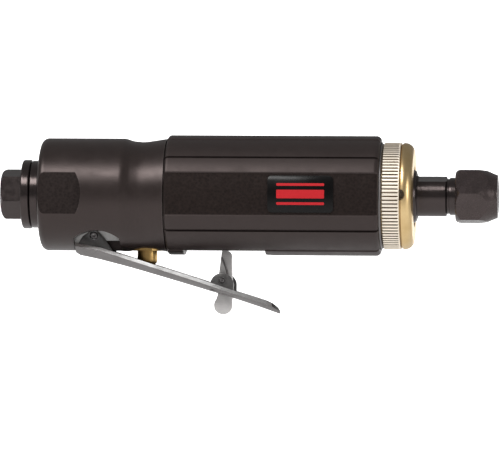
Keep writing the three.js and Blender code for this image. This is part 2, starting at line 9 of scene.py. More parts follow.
import bmesh
import bpy
import numpy as np
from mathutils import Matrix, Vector


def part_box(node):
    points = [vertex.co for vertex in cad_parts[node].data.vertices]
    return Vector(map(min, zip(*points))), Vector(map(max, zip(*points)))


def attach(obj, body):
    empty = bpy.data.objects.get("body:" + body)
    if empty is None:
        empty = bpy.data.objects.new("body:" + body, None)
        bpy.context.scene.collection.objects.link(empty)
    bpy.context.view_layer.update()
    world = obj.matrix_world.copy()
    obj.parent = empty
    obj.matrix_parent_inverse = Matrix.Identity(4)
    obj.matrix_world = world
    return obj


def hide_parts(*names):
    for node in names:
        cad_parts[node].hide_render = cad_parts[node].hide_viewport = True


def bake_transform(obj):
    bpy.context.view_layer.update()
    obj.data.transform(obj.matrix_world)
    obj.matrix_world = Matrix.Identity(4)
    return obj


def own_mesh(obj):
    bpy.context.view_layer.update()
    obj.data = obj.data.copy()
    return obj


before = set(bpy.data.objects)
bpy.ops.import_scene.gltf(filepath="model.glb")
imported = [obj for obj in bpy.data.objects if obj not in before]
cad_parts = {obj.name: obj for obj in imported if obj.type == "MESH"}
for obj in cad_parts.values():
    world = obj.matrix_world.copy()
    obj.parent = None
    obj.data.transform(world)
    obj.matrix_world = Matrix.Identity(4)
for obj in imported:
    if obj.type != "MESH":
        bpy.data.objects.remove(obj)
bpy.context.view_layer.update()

MM = 0.001
ORIGIN = -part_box("inlet_bushing")[0].x / MM  # station of the frame's origin

# ---- stations and radii shared by neighbouring pieces ----

HOUSING_REAR = 13.8
HOUSING_FRONT = 129.4
BODY_R = 19.0
BODY_FRONT = 42.4  # the casting has closer rows from here on
TUBE_REAR = 56.3  # the tube is the part of the casting under the grip
TUBE_R = 17.9
MOTOR_BORE_R = 15.8
FLAT_HALF = 17.7  # from the axis to a vise flat
WEB_HALF = 5.5  # half width of the web between the lever's rear ears
CLEAR = 24  # outside every surface of the body, where a cut may end
SLEEVE_REAR = 56.6
SLEEVE_FRONT = 128.7
SLEEVE_R = 20.2
PANEL_R = 19.6
NEST_Z = -18.65  # top of the recess under the grip that leaves room for the lever's ears
LEVER_PIN = (32.1, -14.0)  # (station, z)
LOCK_PIN = (75.4, -28.8)
VALVE_X = 49.6


# ---- mesh helpers ----


def to_metres(points):
    """Points in station millimetres as an array in the frame's metres."""
    points = np.asarray(points, float).reshape(-1, 3).copy()
    points[:, 0] -= ORIGIN
    return points * MM


def placed(name, data):
    """A new object in the scene."""
    obj = bpy.data.objects.new(name, data)
    bpy.context.scene.collection.objects.link(obj)
    return obj


def discard(objects):
    """Removes objects and their meshes."""
    for obj in objects:
        mesh = obj.data
        bpy.data.objects.remove(obj)
        bpy.data.meshes.remove(mesh)


def mesh_piece(name, points, faces, sharp=32):
    """A mesh object from points in station millimetres, smooth except at edges over sharp degrees."""
    mesh = bpy.data.meshes.new(name)
    mesh.from_pydata(to_metres(points).tolist(), [], [tuple(f) for f in faces])
    mesh.validate()
    obj = placed(name, mesh)
    outward(obj)
    smooth(obj, sharp)
    return obj


def outward(obj):
    """Turns every face of a closed mesh outwards."""
    bm = bmesh.new()
    bm.from_mesh(obj.data)
    bmesh.ops.recalc_face_normals(bm, faces=bm.faces)
    if bm.calc_volume(signed=True) < 0:
        bmesh.ops.reverse_faces(bm, faces=bm.faces)
    bm.to_mesh(obj.data)
    bm.free()


def smooth(obj, sharp):
    """Smooth shading with edges over sharp degrees kept crisp."""
    obj.data.polygons.foreach_set("use_smooth", [True] * len(obj.data.polygons))
    obj.data.set_sharp_from_angle(angle=math.radians(sharp))


def apply_modifiers(obj):
    """Makes the mesh with its modifiers the object's own mesh."""
    graph = bpy.context.evaluated_depsgraph_get()
    mesh = bpy.data.meshes.new_from_object(obj.evaluated_get(graph))
    old = obj.data
    obj.modifiers.clear()
    obj.data = mesh
    bpy.data.meshes.remove(old)


def boolean(obj, tools, operation="DIFFERENCE", sharp=32):
    """Cuts, joins or intersects obj with each tool and removes the tools."""
    for tool in tools:
        modifier = obj.modifiers.new("cut", "BOOLEAN")
        modifier.operation = operation
        modifier.solver = "EXACT"
        modifier.object = tool
    apply_modifiers(obj)
    discard(tools)
    smooth(obj, sharp)
    return obj


def bevel(obj, width, segments, angle, sharp=32):
    """Bevels the edges sharper than angle degrees; width is in millimetres."""
    modifier = obj.modifiers.new("edge", "BEVEL")
    modifier.width = width * MM
    modifier.segments = segments
    modifier.limit_method = "ANGLE"
    modifier.angle_limit = math.radians(angle)
    modifier.use_clamp_overlap = True
    apply_modifiers(obj)
    smooth(obj, sharp)


def loop_faces(rows, columns, closed_rows=False):
    """Quads between successive rows of a grid whose columns wrap round."""
    faces = []
    for i in range(rows if closed_rows else rows - 1):
        k = (i + 1) % rows
        for j in range(columns):
            m = (j + 1) % columns
            faces.append((i * columns + j, k * columns + j, k * columns + m, i * columns + m))
    return faces


def capped_faces(rows, columns):
    """The same quads, with one flat face at each end."""
    last = (rows - 1) * columns
    ends = [tuple(range(columns)), tuple(range(last, last + columns))]
    return loop_faces(rows, columns) + ends


def supported(profile, closed):
    """The profile with points added near the ends of its long sides, to keep their shading flat."""
    reach = 0.3
    profile = [np.array(p, float) for p in profile]
    result = []
    for point, after in zip(profile, profile[1:] + profile[:1]):
        result.append(point)
        length = np.linalg.norm(after - point)
        if length > 4 * reach and (closed or point is not profile[-1]):
            step = (after - point) / length * reach
            result += [point + step, after - step]
    return np.array(result)


def even_angles(count):
    return np.linspace(0, 2 * np.pi, count, endpoint=False)


def turned(profile, angles, radius):
    """Grid points of a profile of (station, radius) turned about the tool axis.

    Angle a is in radians, 0 towards the viewer's side (-Y) and positive upwards. radius(x, r, a)
    may reshape the grid."""
    x = np.repeat(profile[:, 0], len(angles))
    r = np.repeat(profile[:, 1], len(angles))
    a = np.tile(angles, len(profile))
    if radius is not None:
        r = radius(x, r, a)
    return np.stack([x, -r * np.cos(a), r * np.sin(a)], axis=1)


def shell(name, profile, columns, radius=None, sharp=32):
    """A turned piece whose closed profile goes round its wall. columns is a number or the angles."""
    profile = supported(profile, True)
    angles = even_angles(columns) if isinstance(columns, int) else columns
    faces = loop_faces(len(profile), len(angles), True)
    return mesh_piece(name, turned(profile, angles, radius), faces, sharp)


def lathe(name, profile, columns=96, radius=None, sharp=32):
    """A turned piece with an open profile, closed by one flat face at each end."""
    profile = supported(profile, False)
    points = turned(profile, even_angles(columns), radius)
    return mesh_piece(name, points, capped_faces(len(profile), columns), sharp)


def turned_z(name, profile, station, sides):
    """A closed profile of (z, radius) turned about a vertical axis at a station on the tool axis."""
    profile = np.array(profile, float)
    a = np.tile(even_angles(sides), len(profile))
    z = np.repeat(profile[:, 0], sides)
    r = np.repeat(profile[:, 1], sides)
    points = np.stack([station + r * np.cos(a), r * np.sin(a), z], axis=1)
    return mesh_piece(name, points, loop_faces(len(profile), sides, True))


def prism(name, outline, axis, low, high):
    """An outline run along one axis: (y, z) along x, (x, z) along y, or (x, y) along z."""
    count = len(outline)
    points = []
    for level in (low, high):
        for u, v in outline:
            points.append({"x": (level, u, v), "y": (u, level, v), "z": (u, v, level)}[axis])
    faces = [tuple(range(count)), tuple(range(count, 2 * count))]
    faces += [(i, (i + 1) % count, count + (i + 1) % count, count + i) for i in range(count)]
    return mesh_piece(name, points, faces)


def rectangle(u0, u1, v0, v1):
    return [(u0, v0), (u1, v0), (u1, v1), (u0, v1)]


def arc(cx, cy, radius, start, end, count=5):
    """Points on an arc, angles in degrees."""
    return [
        (cx + radius * math.cos(math.radians(t)), cy + radius * math.sin(math.radians(t)))
        for t in np.linspace(start, end, count + 1)
    ]


def hexagon(across, first):
    """Corners (y, z) from half the width across flats and the first corner's angle in degrees."""
    return arc(0, 0, across / math.cos(math.pi / 6), first, first + 360, 6)[:-1]


def rotated(points, degrees):
    """The points (y, z) turned about the tool axis."""
    c, s = math.cos(math.radians(degrees)), math.sin(math.radians(degrees))
    return [(y * c - z * s, y * s + z * c) for y, z in points]


def box_tool(x0, x1, y0, y1, z0, z1):
    return prism("tool", rectangle(x0, x1, y0, y1), "z", z0, z1)


def rod(axis, radius, u, v, low, high, count=48):
    """A round tool along x, y or z with its centre at (u, v) of the other two axes."""
    return prism("tool", arc(u, v, radius, 0, 360, count)[:-1], axis, low, high)


def on_side(side, inner, outer):
    """The low and high y of a span on one side of the tool, side 1 or -1."""
    return sorted((side * inner, side * outer))


def rounded(points, radius, count):
    """The polygon with its corners rounded; radius is one number or one per corner."""
    radii = radius if hasattr(radius, "__len__") else [radius] * len(points)
    result = []
    for i, point in enumerate(points):
        p = np.array(point, float)
        back = np.array(points[i - 1], float) - p
        ahead = np.array(points[(i + 1) % len(points)], float) - p
        reach = min(radii[i], 0.45 * np.linalg.norm(back), 0.45 * np.linalg.norm(ahead))
        if reach <= 0:
            result.append(tuple(p))
            continue
        start = p + back / np.linalg.norm(back) * reach
        end = p + ahead / np.linalg.norm(ahead) * reach
        for t in np.linspace(0, 1, count + 1):
            result.append(tuple((1 - t) ** 2 * start + 2 * t * (1 - t) * p + t * t * end))
    return result


def smoothstep(low, high, value):
    """0 up to low, 1 from high on, with a soft rise between them."""
    t = np.clip((value - low) / (high - low), 0, 1)
    return t * t * (3 - 2 * t)


def thread_wave(x, a, pitch):
    """A triangle wave along a one-start thread: 0 to 1 and back in each turn."""
    return np.abs(((x / pitch - a / (2 * np.pi)) % 1.0) - 0.5) * 2


def tube(name, path, radius, sides):
    """A round wire along points in station millimetres, with flat closed ends."""
    path = np.array(path, float)
    tangents = np.gradient(path, axis=0)
    tangents /= np.linalg.norm(tangents, axis=1)[:, None]
    normal = np.cross(tangents[0], (0.3, 0.5, 0.8))
    normal /= np.linalg.norm(normal)
    points = []
    for centre, tangent in zip(path, tangents):
        normal = normal - tangent * normal.dot(tangent)
        normal /= np.linalg.norm(normal)
        side = np.cross(tangent, normal)
        for t in even_angles(sides):
            points.append(centre + radius * (math.cos(t) * normal + math.sin(t) * side))
    return mesh_piece(name, points, capped_faces(len(path), sides), sharp=60)


def catmull(points, steps):
    """A smooth path through given points."""
    points = np.array(points, float)
    padded = np.vstack([2 * points[0] - points[1], points, 2 * points[-1] - points[-2]])
    result = []
    for i in range(1, len(padded) - 2):
        a, b, c, d = padded[i - 1 : i + 3]
        for t in np.linspace(0, 1, steps, endpoint=False):
            line = 2 * b + (c - a) * t + (2 * a - 5 * b + 4 * c - d) * t**2
            result.append(0.5 * (line + (3 * b - a - 3 * c + d) * t**3))
    result.append(points[-1])
    return np.array(result)


def join(objects, name):
    """Several meshes as one object."""
    bm = bmesh.new()
    for obj in objects:
        bm.from_mesh(obj.data)
    mesh = bpy.data.meshes.new(name)
    bm.to_mesh(mesh)
    bm.free()
    discard(objects)
    return placed(name, mesh)


# ---- materials ----


def scaled(colour, factor):
    """The colour made lighter or darker."""
    return tuple(c * factor for c in colour)


class Nodes:
    """A small wrapper that builds a node material. An input is a number, a colour or an output."""

    def __init__(self, name):
        self.material = bpy.data.materials.new(name)
        self.material.use_nodes = True
        self.tree = self.material.node_tree
        self.bsdf = self.tree.nodes["Principled BSDF"]
        self.coordinates = self.tree.nodes.new("ShaderNodeTexCoord").outputs["Object"]

    def feed(self, socket, value):
        """Links an output to the socket, or sets its number, vector or colour."""
        if isinstance(value, bpy.types.NodeSocket):
            self.tree.links.new(value, socket)
        elif hasattr(value, "__len__"):
            socket.default_value = (*value, 1)[: len(socket.default_value)]
        else:
            socket.default_value = value

    def fill(self, node, **inputs):
        """Feeds a node's inputs by name, with _ for each space in the name."""
        for name, value in inputs.items():
            self.feed(node.inputs[name.replace("_", " ")], value)
        return node

    def node(self, kind, **inputs):
        return self.fill(self.tree.nodes.new("ShaderNode" + kind), **inputs)

    def stretched(self, scale):
        return self.node("Mapping", Scale=scale, Vector=self.coordinates).outputs["Vector"]

    def noise(self, scale, detail, roughness, vector=None):
        vector = vector or self.coordinates
        node = self.node("TexNoise", Scale=scale, Detail=detail, Roughness=roughness, Vector=vector)
        return node.outputs["Fac"]

    def cells(self, scale):
        return self.node("TexVoronoi", Scale=scale, Vector=self.coordinates).outputs["Distance"]

    def mix(self, factor, a, b):
        """Colour a blended towards colour b."""
        node = self.node("Mix")
        node.data_type = "RGBA"
        colour_a, colour_b, result = 6, 7, 2  # the node's sockets for colours, by number
        self.feed(node.inputs[0], factor)
        self.feed(node.inputs[colour_a], a)
        self.feed(node.inputs[colour_b], b)
        return node.outputs[result]

    def maths(self, operation, a, b, clamp=False):
        node = self.node("Math")
        node.operation = operation
        node.use_clamp = clamp
        self.feed(node.inputs[0], a)
        self.feed(node.inputs[1], b)
        return node.outputs[0]

    def span(self, value, low, high, to_low, to_high):
        """The value's range from low to high stretched to run from to_low to to_high."""
        ends = {"From_Min": low, "From_Max": high, "To_Min": to_low, "To_Max": to_high}
        return self.node("MapRange", Value=value, **ends).outputs["Result"]

    def uneven(self, scale, detail, rough):
        """Roughness that wanders between the two values of rough."""
        return self.span(self.noise(scale, detail, 0.6), 0.3, 0.7, *rough)

    def shades(self, value, colour, darkest, lightest, low=0.3, high=0.7):
        """The colour times darkest where the value is low and times lightest where it is high."""
        node = self.node("ValToRGB", Fac=value)
        for element, position, factor in zip(node.color_ramp.elements, (low, high), (darkest, lightest)):
            element.position = position
            element.color = (*scaled(colour, factor), 1)
        return node.outputs["Color"]

    def edges(self, low, high):
        """0 on flat stretches, towards 1 on convex edges, broken up by noise."""
        sharp = self.span(self.node("NewGeometry").outputs["Pointiness"], low, high, 0, 1)
        broken = self.span(self.noise(900, 4, 0.7), 0.35, 0.6, 0, 1)
        return self.maths("MULTIPLY", sharp, broken, clamp=True)

    def bump(self, height, distance, normal=None):
        """Relief of a depth in millimetres, on top of the relief in normal."""
        node = self.node("Bump", Distance=distance * MM, Strength=1.0, Height=height)
        if normal is not None:
            self.fill(node, Normal=normal)
        return node.outputs["Normal"]

    def finish(self, colour, roughness, normal, **constants):
        """Links the three maps to the shader and sets its constants, such as Metallic."""
        self.fill(self.bsdf, Base_Color=colour, Roughness=roughness, Normal=normal, **constants)
        return self.material


WARM = (1.0, 0.82, 0.79, 1.0)  # tint of reflections on the black parts, a brownish black


def coated_metal(name, colour):
    """Thin dark coating over cast and turned metal, rubbed lighter along its edges."""
    grain = 0.02  # depth of the cast skin
    rubbed = (0.30, 0.28, 0.27)
    n = Nodes(name)
    clouds = n.noise(90, 5, 0.6)
    speck = n.noise(3800, 2, 0.5)
    base = n.shades(clouds, colour, 0.86, 1.14)
    base = n.mix(n.span(speck, 0.35, 0.7, 0, 0.35), base, scaled(colour, 1.5))
    base = n.mix(n.maths("MULTIPLY", n.edges(0.53, 0.62), 0.25), base, rubbed)
    roughness = n.uneven(240, 4, (0.30, 0.40))
    skin = n.bump(n.noise(1500, 3, 0.6), grain)
    normal = n.bump(speck, grain * 0.5, normal=skin)
    return n.finish(base, roughness, normal, Specular_IOR_Level=0.5, Specular_Tint=WARM)


def moulded_plastic(name, colour):
    """Satin glass-filled plastic with a fine spark-eroded skin and faint flow marks."""
    n = Nodes(name)
    flow = n.noise(60, 4, 0.55, n.stretched((0.35, 1, 1)))
    base = n.shades(flow, colour, 0.9, 1.12)
    base = n.mix(n.maths("MULTIPLY", n.edges(0.54, 0.66), 0.4), base, scaled(colour, 2.4))
    roughness = n.uneven(300, 4, (0.40, 0.50))
    skin = n.bump(n.noise(2600, 2, 0.5), 0.02)
    return n.finish(base, roughness, skin, Specular_IOR_Level=0.5, Specular_Tint=WARM)


def textured_panel(name, colour, pebble=0.09):
    """Coarse leather-like moulded texture for the recessed and machined-flat areas."""
    n = Nodes(name)
    pebbles = n.cells(1150)
    base = n.shades(pebbles, colour, 0.5, 1.5, 0.1, 0.75)
    base = n.mix(n.span(n.noise(120, 4, 0.6), 0.35, 0.7, 0, 0.3), base, scaled(colour, 1.5))
    roughness = n.uneven(700, 3, (0.62, 0.80))
    coarse = n.bump(pebbles, pebble)
    fine = n.bump(n.noise(2400, 3, 0.6), 0.03, normal=coarse)
    return n.finish(base, roughness, fine, Specular_IOR_Level=0.22, Specular_Tint=WARM)


def black_oxide(name, colour, rough, lines):
    """Blackened steel: dark oxide film with fine turning or brushing lines."""
    n = Nodes(name)
    clouds = n.noise(160, 5, 0.65)
    base = n.shades(clouds, colour, 0.75, 1.5, 0.3, 0.72)
    streaks = n.noise(400, 3, 0.6, n.stretched(lines))
    roughness = n.uneven(500, 4, rough)
    normal = n.bump(streaks, 0.012)
    normal = n.bump(n.noise(2600, 3, 0.6), 0.006, normal=normal)
    return n.finish(base, roughness, normal, Specular_IOR_Level=0.62, Specular_Tint=WARM)


def bare_steel(name, colour, rough, lines=(0.25, 6, 6), depth=0.01):
    """Stamped or drawn steel with rolling lines, small scratches and slight staining."""
    n = Nodes(name)
    streaks = n.noise(500, 4, 0.65, n.stretched(lines))
    clouds = n.noise(140, 5, 0.6)
    base = n.shades(clouds, colour, 0.82, 1.1)
    base = n.mix(n.span(streaks, 0.4, 0.75, 0, 0.4), base, scaled(colour, 1.25))
    roughness = n.span(n.maths("ADD", streaks, clouds), 0.7, 1.3, *rough)
    normal = n.bump(streaks, depth)
    normal = n.bump(n.noise(1800, 3, 0.7), depth * 0.5, normal=normal)
    return n.finish(base, roughness, normal, Metallic=1.0)


def yellow_metal(name, colour, tint, rough, lines=(14, 0.3, 0.3), depth=0.008):
    """Brass, or gold-coloured plating, with turning lines and a slight tarnish."""
    n = Nodes(name)
    clouds = n.noise(120, 5, 0.6)
    base = n.mix(n.span(clouds, 0.35, 0.7, 0, 1), colour, tint)
    turning = n.noise(500, 3, 0.6, n.stretched(lines))
    roughness = n.span(n.maths("ADD", turning, clouds), 0.7, 1.3, *rough)
    normal = n.bump(turning, depth)
    return n.finish(base, roughness, normal, Metallic=1.0)


def dull(name, colour, scale=900, rough=(0.6, 0.85), depth=0.05, metallic=0.0, fibre=None):
    """Rubber, felt, phenolic laminate or plain cast iron, set apart by scale, grain and colour."""
    n = Nodes(name)
    vector = n.stretched(fibre) if fibre else None
    grain = n.noise(scale, 5, 0.65, vector)
    base = n.shades(grain, colour, 0.7, 1.3)
    roughness = n.uneven(scale / 3, 3, rough)
    return n.finish(base, roughness, n.bump(grain, depth), Metallic=metallic)


def printed(name, colour, rough=(0.24, 0.34), specular=0.2):
    """Glossy label film or ink with fine dust and hairline scratches."""
    n = Nodes(name)
    scratches = n.noise(700, 4, 0.7, n.stretched((0.2, 3, 3)))
    base = n.mix(n.span(scratches, 0.55, 0.8, 0, 0.25), colour, scaled(colour, 1.8))
    roughness = n.uneven(260, 4, rough)
    return n.finish(base, roughness, n.bump(scratches, 0.004), Specular_IOR_Level=specular)


MATERIALS = {
    "coating": coated_metal("housing_coating", (0.0145, 0.0106, 0.0098)),
    "flat_texture": textured_panel("vise_flat_texture", (0.0105, 0.0078, 0.0072), pebble=0.06),
    "machined": bare_steel("machined_aluminium", (0.62, 0.61, 0.6), (0.25, 0.42), (3, 3, 3), 0.02),
    "sleeve": moulded_plastic("grip_plastic", (0.0165, 0.0122, 0.0115)),
    "panel": textured_panel("grip_panel_texture", (0.0082, 0.0054, 0.0046)),
    "turned_black": black_oxide(
        "turned_black_steel", (0.009, 0.0072, 0.0072), (0.16, 0.26), (14, 0.3, 0.3)
    ),
    "nut": black_oxide("collet_nut_steel", (0.019, 0.0145, 0.0145), (0.22, 0.32), (1.2, 1.2, 1.2)),
    # The lever's steel in two copies: a dark one painted as shade on the faces that look sideways and down,
    # and a near-white one painted as a highlight on the faces along the lip that look up.
    "steel": bare_steel("stamped_steel_painted_shade", (0.2, 0.19, 0.188), (0.24, 0.36), depth=0.003),
    "painted_highlight_steel": bare_steel("painted_highlight_steel", (0.94, 0.93, 0.92), (0.26, 0.38), depth=0.003),
    "ear_steel": bare_steel("stamped_ear_steel", (0.15, 0.145, 0.142), (0.30, 0.50), (3, 3, 3), 0.02),
    "zinc_plate": bare_steel("zinc_plated_steel", (0.64, 0.62, 0.61), (0.46, 0.58), depth=0.004),
    "pin": bare_steel("pin_steel", (0.2, 0.19, 0.19), (0.3, 0.45), (3, 0.4, 3)),
    "spring": bare_steel("spring_wire", (0.16, 0.15, 0.15), (0.3, 0.45), (2, 2, 2)),
    "ground_steel": bare_steel("ground_steel", (0.5, 0.49, 0.48), (0.14, 0.26), (12, 0.3, 0.3)),
    "brass": yellow_metal(
        "brass", (0.50, 0.33, 0.12), (0.30, 0.18, 0.07), (0.3, 0.45), lines=(6, 6, 0.3), depth=0.02
    ),
    "gold_plate": yellow_metal("gold_plate", (0.70, 0.52, 0.27), (0.60, 0.42, 0.20), (0.28, 0.40)),
    # a dark copy of the gold, painted as shade in the knurl's grooves
    "gold_groove_painted_shade": yellow_metal("gold_plate_painted_groove_shade", (0.20, 0.14, 0.08), (0.14, 0.09, 0.05), (0.4, 0.5)),
    "pale_gold": yellow_metal("gold_plate_teeth", (0.96, 0.88, 0.77), (0.91, 0.82, 0.69), (0.50, 0.62)),
    "rubber": dull("rubber", (0.018, 0.018, 0.018)),
    "felt": dull("felt", (0.52, 0.49, 0.42), 1400, (0.85, 1.0), 0.3),
    "phenolic": dull("phenolic_laminate", (0.32, 0.16, 0.07), 700, (0.45, 0.65), 0.03, fibre=(0.2, 3, 3)),
    "cast_iron": dull("cast_iron", (0.22, 0.215, 0.21), 1200, (0.4, 0.6), 0.04, 0.85),
    "label": printed("label_film", (0.0022, 0.0018, 0.0018)),
    "red_ink": printed("red_ink", (0.5, 0.016, 0.022), (0.4, 0.5)),
}


def dress(obj, material, body, nodes=()):
    """Gives a piece its material, unless it is painted, its body unless body is None, and hides its CAD
    nodes."""
    if not obj.data.materials:
        obj.data.materials.append(MATERIALS[material])
    if body:
        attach(obj, body)
    if nodes:
        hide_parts(*nodes)


def paint(obj, materials, choose):
    """Face materials: choose(x, y, z, nx, ny, nz) in station mm gives an index into materials."""
    for name in materials:
        obj.data.materials.append(MATERIALS[name])
    for face in obj.data.polygons:
        c = face.center / MM
        face.material_index = choose(c.x + ORIGIN, c.y, c.z, *face.normal)


# ---- housing ----

WAIST = [  # (station, depth) of the hollow where the thumb lies
    (40.5, 0.0), (42.2, 0.05), (43.7, 0.5), (45.1, 0.88), (48.4, 1.15), (52.2, 0.68), (56.4, 0.0),
]


def housing_radius(x, r, a):
    """The casting's outside: the waist before the grip, and the boss under the throttle valve."""
    boss_r = 19.15
    path = catmull(WAIST, 8)
    waist = np.interp(x, path[:, 0], path[:, 1])
    outside = r > TUBE_R + 0.5
    outer = r - waist * outside
    across = np.abs(outer * np.cos(a))
    boss = smoothstep(40.6, 41.8, x) * (1 - smoothstep(5.0, 16.0, across)) * (np.sin(a) < 0)
    return outer + np.maximum(boss_r - outer, 0) * boss * outside


def housing_blank():
    """The casting before it is cut: rounded rear corner, rear body, and the tube under the grip."""
    corner = 2.3
    rear = arc(HOUSING_REAR + corner, BODY_R - corner, corner, 180, 90, 8)
    stations = [*np.arange(17.5, BODY_FRONT, 1.6), *np.arange(BODY_FRONT, 56.0, 0.4), TUBE_REAR]
    profile = [(HOUSING_REAR, 12.5), *rear, *[(x, BODY_R) for x in stations]]
    profile += [(TUBE_REAR + 0.02, TUBE_R), (90, TUBE_R), (HOUSING_FRONT - 0.4, TUBE_R)]
    profile += [(HOUSING_FRONT, TUBE_R - 0.35)]
    return lathe("housing_casting", profile, 288, housing_radius)


def lever_pocket(side):
    """Milled recess beside the web that carries the throttle lever: a round-ended cutter's path."""
    round_end = arc(33.3, -24.6, 12.25, 129, 51, 26)
    outline = [*round_end, (41.0, -15.2), (41.0, -30), (25.6, -30)]
    return prism("tool", outline, "y", *on_side(side, WEB_HALF, CLEAR))


def undercut(side):
    """Cast relief under the milled face of the pocket."""
    outline = rounded([(34.0, -15.75), (41.3, -15.6), (41.3, -30), (34.0, -30)], [2.5, 0.2, 0, 0], 5)
    return prism("tool", outline, "y", *on_side(side, 3.6, CLEAR))


def housing():
    """Cast aluminium body: vise flats, lever pocket, air passages, motor bore and lock relief."""
    tools = []
    for side in (1, -1):
        vise_flat = rod("y", 14, 14.7, 0, *on_side(side, FLAT_HALF, CLEAR), 96)
        tools += [vise_flat, lever_pocket(side), undercut(side)]
    lever_relief = [(25.3, -17.9), (25.3, -26), (31, -26), (31, -19.4)]
    tools += [
        prism("tool", lever_relief, "y", -6.6, 6.6),
        rod("y", 1.5, *LEVER_PIN, -8, 8),
        box_tool(65, 79.4, -2.6, 2.6, -26, -16.6),  # room for the lock lever
        lathe("tool", [(13, 8.2), (24.2, 8.2), (24.2, 7), (40, 7)]),  # air inlet
        rod("x", 3.4, 0, 1, 39, VALVE_X),  # passages to the valve, across it, and on to the motor
        rod("z", 6.3, VALVE_X, 0, -25, 9),
        rod("x", 2.4, 0, -8.4, VALVE_X, 61),
        lathe("tool", [(60, MOTOR_BORE_R), (HOUSING_FRONT + 1, MOTOR_BORE_R)]),
    ]
    body = boolean(housing_blank(), tools, sharp=30)

    def finish_at(x, y, z, nx, ny, nz):
        coating, vise_flat, web, mouth = range(4)
        sideways = abs(ny) > 0.99
        if sideways and x < 29 and abs(z) < 8 and abs(abs(y) - FLAT_HALF) < 0.02:
            return vise_flat
        if sideways and 22 < x < 41.2 and z < -11.5 and abs(abs(y) - WEB_HALF) < 0.02:
            return web
        return mouth if x > SLEEVE_FRONT + 0.05 else coating

    paint(body, ["coating", "flat_texture", "machined", "pin"], finish_at)
    dress(body, "coating", "tool_body", ["housing"])


INLET_PITCH = 1.34


def inlet_thread(x, r, a):
    """Reshapes the inlet's bore: one ridge that winds in from the mouth."""
    depth, last = 0.62, 12.2
    ridge = depth * np.clip(1.25 * thread_wave(x, a, INLET_PITCH) - 0.12, 0, 1)
    return r - ridge * smoothstep(-0.2, 1.4, x) * (x > -0.4) * (x < last)


def inlet():
    """Steel hose connection: domed hexagon, flange, shank, and a threaded bore."""
    crown = 9.3
    dome = [(0, 4.0), (0, 6.7), (0.35, 7.6), (1.0, 8.35), (1.9, 8.85), (2.7, crown), (7.3, crown)]
    first_corner = 18
    body = lathe("inlet_fitting", dome, 144)
    corners = hexagon(7.5, first_corner)
    body = boolean(body, [prism("tool", corners, "x", -1, 8)], "INTERSECT", sharp=15)
    bevel(body, 0.16, 1, 45, 15)
    flange_profile = [
        (7.0, 4.6), (7.0, 8.4), (7.25, 8.6), *arc(7.9, 11.05, 0.6, 180, 90), (9.8, 11.65),
        *arc(9.8, 11.15, 0.5, 90, 0), (10.35, 8.2), (12.6, 8.0), (24.0, 7.9), (24.0, 4.6),
    ]
    body = boolean(body, [shell("flange", flange_profile, 144)], "UNION")
    rows = [(-1.0, 6.5), (-0.05, 6.3), (0.6, 5.75)]
    rows += [(x, 5.72 - 0.012 * x) for x in np.arange(0.75, 12.1, INLET_PITCH / 9)]
    rows += [(12.4, 5.2), (13, 5.0), (25, 5.0)]
    body = boolean(body, [lathe("tool", rows, 72, inlet_thread)], sharp=20)

    def finish_at(x, y, z, nx, ny, nz):
        """Painted highlight: the narrow faces along the hexagon's corners get the lighter pin steel."""
        off_corner = (math.degrees(math.atan2(nz, ny)) - first_corner + 30) % 60 - 30
        return 1 if 0.5 < x < 7 and abs(nx) < 0.2 and abs(off_corner) < 5 else 0

    paint(body, ["turned_black", "pin"], finish_at)
    dress(body, "turned_black", "tool_body", ["inlet_bushing"])


def inlet_collar():
    """The thin collar behind the fitting, on which the fitting swivels."""
    profile = [
        (10.45, 8.6), (10.45, 10.9), *arc(10.85, 10.96, 0.4, 180, 90), (12.9, 11.36),
        *arc(12.9, 10.96, 0.4, 90, 0), (13.5, 8.6),
    ]
    collar = shell("inlet_swivel_collar", profile, 144)
    dress(collar, "turned_black", "tool_body", ["inlet_collar"])


# ---- grip sleeve and badge ----

PANEL_EDGE = 20.6  # degrees above and below the side of the grip
BANDS = [  # (from, to, radius) between the panel and the plain top and bottom
    (0.0, PANEL_EDGE, PANEL_R), (PANEL_EDGE, 21.6, 19.85), (21.6, 36.0, 20.1), (36.2, 39.0, 19.25),
    (39.4, 69.5, 19.9), (69.9, 90.0, SLEEVE_R),
]


def sleeve_angles():
    """Columns that fall exactly on the band edges of all four quarters, with even ones between."""
    step = 2.2
    around = set()
    for low, high, _ in BANDS:
        count = max(1, round((high - low) / step))
        for lean in np.linspace(low, high, count + 1).round(3):
            around |= {lean % 360, (180 - lean) % 360, (180 + lean) % 360, (360 - lean) % 360}
    return np.radians(sorted(around))


def sleeve_radius(x, r, a):
    """The outer skin's radius in each band; the bore keeps the profile's radius."""
    lean = np.degrees(np.arcsin(np.clip(np.abs(np.sin(a)), 0, 1)))
    edges = [edge for low, high, _ in BANDS for edge in (low, high)]
    radii = [radius for _, _, radius in BANDS for _ in (0, 1)]
    band = np.interp(lean, edges, radii)
    between_bore_and_skin = 18.6
    return np.where(r > between_bore_and_skin, r - (SLEEVE_R - band), r)


